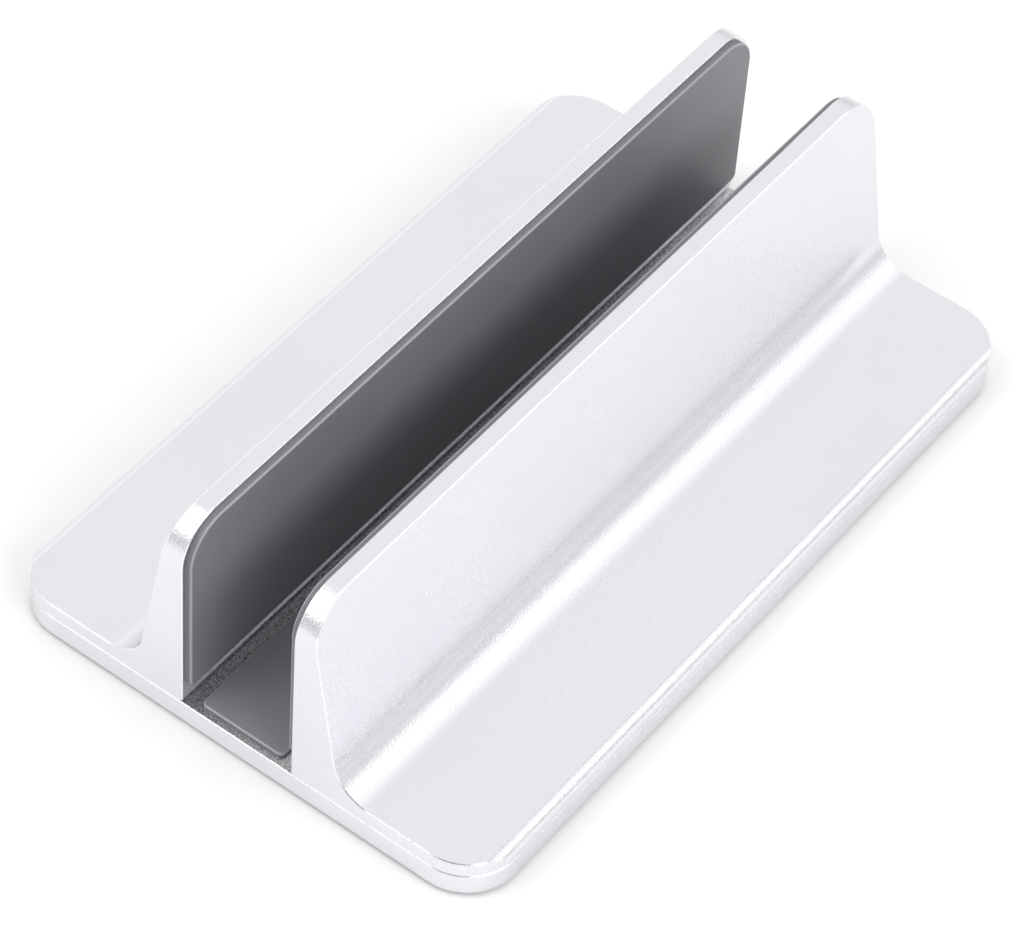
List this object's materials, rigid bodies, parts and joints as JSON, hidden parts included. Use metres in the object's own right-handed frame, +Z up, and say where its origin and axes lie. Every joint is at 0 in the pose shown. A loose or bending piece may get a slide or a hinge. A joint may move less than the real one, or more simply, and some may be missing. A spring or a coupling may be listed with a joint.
{
  "type": "vertical laptop stand",
  "caption": "Low oblong metal base with upright pad-lined brackets that hold a closed laptop on its edge; a clamped bracket slides sideways to set the slot's width.",
  "frame": {"origin": "on the surface the stand rests on, under the middle of the base plate", "axes": "+X across the slot from the fixed bracket to the sliding one, +Y along the slot, +Z up"},
  "size_m": [0.11, 0.171, 0.0526],
  "materials": {
    "blasted_aluminium": "bead-blasted and clear anodised, with bright broken edges",
    "silicone_pad": "satin dark grey silicone",
    "foot_rubber": "matt dark silicone",
    "screw_steel": "plated steel"
  },
  "bodies": {
    "base": {"base_plate": "blasted_aluminium", "fixed_bracket": "blasted_aluminium", "fixed_wall_pad": "silicone_pad", "floor_pad": "silicone_pad", "fixed_screws": "screw_steel", "foot_front_left": "foot_rubber", "foot_front_right": "foot_rubber", "foot_rear_left": "foot_rubber", "foot_rear_right": "foot_rubber"},
    "slider": {"sliding_bracket": "blasted_aluminium", "sliding_wall_pad": "silicone_pad", "clamp_screws": "screw_steel", "clamp_washers": "screw_steel"}
  },
  "joints": [
    {"name": "bracket_slide", "type": "slide", "parent": "base", "child": "slider", "axis": [1, 0, 0], "range_m": [-0.0028, 0.012]}
  ]
}
